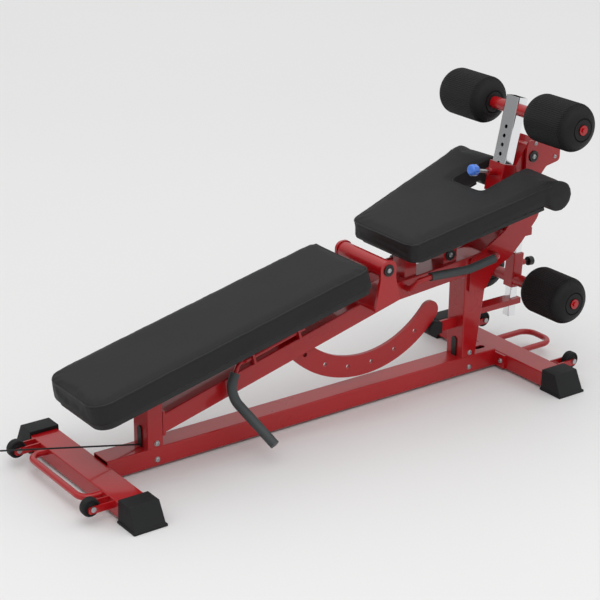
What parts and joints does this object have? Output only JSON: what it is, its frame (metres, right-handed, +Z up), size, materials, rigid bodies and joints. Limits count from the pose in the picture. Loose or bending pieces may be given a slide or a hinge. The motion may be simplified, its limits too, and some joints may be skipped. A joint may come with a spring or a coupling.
{
  "type": "roman chair",
  "caption": "Decline bench with a swinging backrest on an arc index plate, a notched seat with knee rolls, foam leg rollers on sliding posts, grab handles and transport wheels.",
  "frame": {"origin": "on the floor, in the middle of the machine's length and width, cord left out", "axes": "+Z up, +X from the head end to the leg-roller end, -Y the side of the release lever"},
  "size_m": [2.1286, 0.71, 0.944],
  "materials": {
    "red_paint": "glossy red powder coat",
    "black_vinyl": null,
    "black_foam": null,
    "board": "black painted board",
    "black_rubber": "matte black rubber",
    "grip_rubber": "dark gray rubber grip",
    "chrome": "bright chrome plate",
    "steel": "zinc plated steel",
    "black_plastic": "matte black plastic",
    "blue_plastic": "glossy blue plastic",
    "cord_cover": "black covered cord"
  },
  "bodies": {
    "frame": {"base_beam": "red_paint", "cord": "cord_cover", "cord_hook": "steel", "cord_outlet": "black_plastic", "foot_front_far": "black_rubber", "foot_front_near": "black_rubber", "foot_rear_far": "black_rubber", "foot_rear_near": "black_rubber", "frame_bolts": "steel", "front_bumper": "black_rubber", "front_crossbar": "red_paint", "front_post": "red_paint", "front_tow_handle": "red_paint", "grab_grips": "grip_rubber", "grab_handle_far": "red_paint", "grab_handle_near": "red_paint", "guide_brackets": "red_paint", "guide_post": "chrome", "hinge_bracket": "red_paint", "hinge_shaft": "steel", "incline_beam": "red_paint", "index_guide": "black_rubber", "lever_lugs": "red_paint", "lock_housing": "red_paint", "neck_plate_far": "red_paint", "neck_plate_near": "red_paint", "pivot_bolt": "steel", "pivot_caps": "black_plastic", "rear_crossbar": "red_paint", "rear_post": "red_paint", "rear_post_insert": "black_plastic", "rear_tow_handle": "red_paint", "seat_board": "board", "seat_frame": "red_paint", "seat_pad": "black_vinyl", "top_beam": "red_paint", "wheel_arms": "red_paint", "wheel_bolts": "steel"},
    "backrest": {"backrest_spine": "red_paint", "index_plate": "red_paint", "back_board": "board", "back_pad": "black_vinyl"},
    "lever": {"release_lever": "red_paint", "release_grip": "grip_rubber"},
    "lock_pin": {"lock_pin": "steel"},
    "arm": {"roller_arm": "red_paint"},
    "upper_pin": {"upper_pop_pin": "steel", "upper_knob": "blue_plastic"},
    "upper_post": {"roller_post": "chrome", "upper_axle": "red_paint"},
    "upper_roller_near": {"upper_roller_near": "black_foam"},
    "upper_roller_far": {"upper_roller_far": "black_foam"},
    "carriage": {"roller_carriage": "red_paint"},
    "lower_pin": {"lower_pop_pin": "black_plastic"},
    "lower_roller_near": {"lower_roller_near": "black_foam"},
    "lower_roller_far": {"lower_roller_far": "black_foam"},
    "wheel_front_near": {"wheel_front_near": "black_rubber"},
    "wheel_front_far": {"wheel_front_far": "black_rubber"},
    "wheel_rear_near": {"wheel_rear_near": "black_rubber"},
    "wheel_rear_far": {"wheel_rear_far": "black_rubber"}
  },
  "joints": [
    {"name": "backrest_tilt", "type": "hinge", "parent": "frame", "child": "backrest", "pos_m": [0.18175, 0, 0.48], "axis": [0, 1, 0], "range_deg": [0, 77]},
    {"name": "release_lever_turn", "type": "hinge", "parent": "frame", "child": "lever", "pos_m": [-0.07625, -0.036, 0.32172], "axis": [-0.9681, 0, -0.2504], "range_deg": [-9, 5]},
    {"name": "lock_pin_slide", "type": "slide", "parent": "frame", "child": "lock_pin", "axis": [0, 1, 0], "range_m": [-0.0185, 0.0105]},
    {"name": "roller_arm_tilt", "type": "hinge", "parent": "frame", "child": "arm", "pos_m": [0.82475, 0, 0.718], "axis": [0, 1, 0], "range_deg": [0, 15]},
    {"name": "upper_post_slide", "type": "slide", "parent": "arm", "child": "upper_post", "axis": [0.2164, 0, 0.9763], "range_m": [-0.06, 0.06]},
    {"name": "upper_pop_pin_pull", "type": "slide", "parent": "arm", "child": "upper_pin", "axis": [-0.9763, 0, 0.2164], "range_m": [-0.012, 0]},
    {"name": "carriage_slide", "type": "slide", "parent": "frame", "child": "carriage", "axis": [0.0698, 0, 0.9976], "range_m": [-0.03, 0.03]},
    {"name": "lower_pop_pin_pull", "type": "slide", "parent": "carriage", "child": "lower_pin", "axis": [0.9976, 0, -0.0698], "range_m": [-0.01, 0]},
    {"name": "upper_roller_near_spin", "type": "hinge", "parent": "upper_post", "child": "upper_roller_near", "pos_m": [0.77575, 0, 0.874], "axis": [0, 1, 0], "continuous": true},
    {"name": "lower_roller_near_spin", "type": "hinge", "parent": "carriage", "child": "lower_roller_near", "pos_m": [0.80775, 0, 0.288], "axis": [0, 1, 0], "continuous": true},
    {"name": "upper_roller_far_spin", "type": "hinge", "parent": "upper_post", "child": "upper_roller_far", "pos_m": [0.77575, 0, 0.874], "axis": [0, 1, 0], "continuous": true},
    {"name": "lower_roller_far_spin", "type": "hinge", "parent": "carriage", "child": "lower_roller_far", "pos_m": [0.80775, 0, 0.288], "axis": [0, 1, 0], "continuous": true},
    {"name": "wheel_front_near_spin", "type": "hinge", "parent": "frame", "child": "wheel_front_near", "pos_m": [-0.93125, -0.22, 0.052], "axis": [0, 1, 0], "continuous": true},
    {"name": "wheel_front_far_spin", "type": "hinge", "parent": "frame", "child": "wheel_front_far", "pos_m": [-0.93125, 0.22, 0.052], "axis": [0, 1, 0], "continuous": true},
    {"name": "wheel_rear_near_spin", "type": "hinge", "parent": "frame", "child": "wheel_rear_near", "pos_m": [0.87875, -0.22, 0.052], "axis": [0, 1, 0], "continuous": true},
    {"name": "wheel_rear_far_spin", "type": "hinge", "parent": "frame", "child": "wheel_rear_far", "pos_m": [0.87875, 0.22, 0.052], "axis": [0, 1, 0], "continuous": true}
  ],
  "couplings": [
    {"joint": "lock_pin_slide", "follows": "release_lever_turn", "m_per_rad": 0.115}
  ]
}
